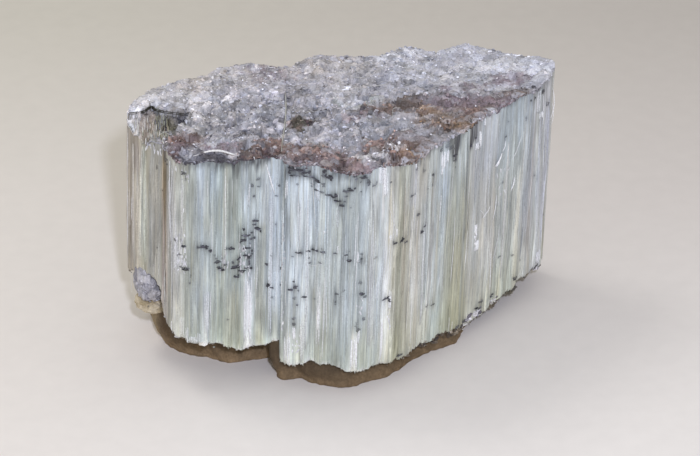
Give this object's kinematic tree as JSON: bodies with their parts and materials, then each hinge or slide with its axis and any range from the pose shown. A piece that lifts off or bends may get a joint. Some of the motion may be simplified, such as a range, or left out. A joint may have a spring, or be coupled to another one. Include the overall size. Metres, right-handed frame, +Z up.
{
  "type": "asbestos mineral specimen",
  "caption": "Block of pale silky cross-fibre asbestos standing upright between vein walls, with a rough granular crust on top and a dark crust foot to rest on",
  "frame": {"origin": "centre of the block's bounding box in plan, on the plane it rests on", "axes": "+Z up along the fibres, +X along the long side, -Y out of the broad broken front"},
  "size_m": [0.0808, 0.0508, 0.0488],
  "materials": {
    "silky_fibre": "silky",
    "wall_crust": "rough"
  },
  "bodies": {
    "root": {"fibre_block": "silky_fibre"}
  },
  "joints": []
}
